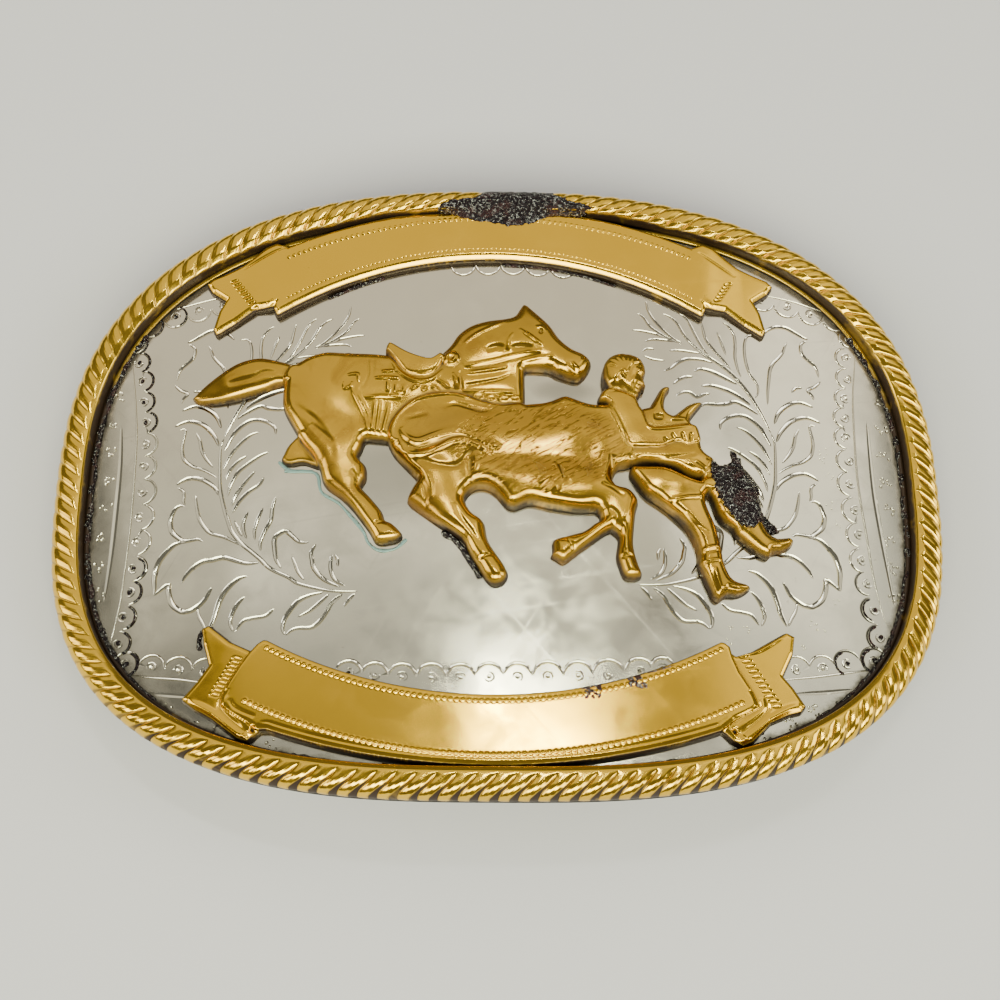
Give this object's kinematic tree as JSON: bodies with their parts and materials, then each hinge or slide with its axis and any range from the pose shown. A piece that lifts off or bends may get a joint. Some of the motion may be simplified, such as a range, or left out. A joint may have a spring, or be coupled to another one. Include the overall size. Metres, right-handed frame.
{
  "type": "western rodeo belt buckle",
  "caption": "Oval trophy belt buckle: curved silver plate with a gold rope edge, two blank ribbons and a steer wrestling figure in relief, belt loop and prong behind.",
  "frame": {"origin": "on the surface that the buckle lies on, below the middle of its outline", "axes": "+Z out of the buckle's face (up as it lies), +Y to the buckle's top edge, +X to the viewer's right of the face"},
  "size_m": [0.0964, 0.0712, 0.0134],
  "materials": {
    "nickel_silver": "engraved nickel silver, worn polish with fine scratches",
    "gold_tone_rope": "polished gold-tone brass with dark tarnish in its grooves",
    "gold_tone_ribbon": "satin gold-tone brass with beaded edge lines",
    "gold_tone_figure": "stamped gold-tone brass, satin with bright high spots",
    "plated_wire": "plain nickel plate, dulled"
  },
  "bodies": {
    "root": {"plate": "nickel_silver", "rope_edge": "gold_tone_rope", "top_ribbon": "gold_tone_ribbon", "bottom_ribbon": "gold_tone_ribbon", "steer_wrestling_figure": "gold_tone_figure", "belt_loop": "plated_wire", "prong": "plated_wire"}
  },
  "joints": []
}
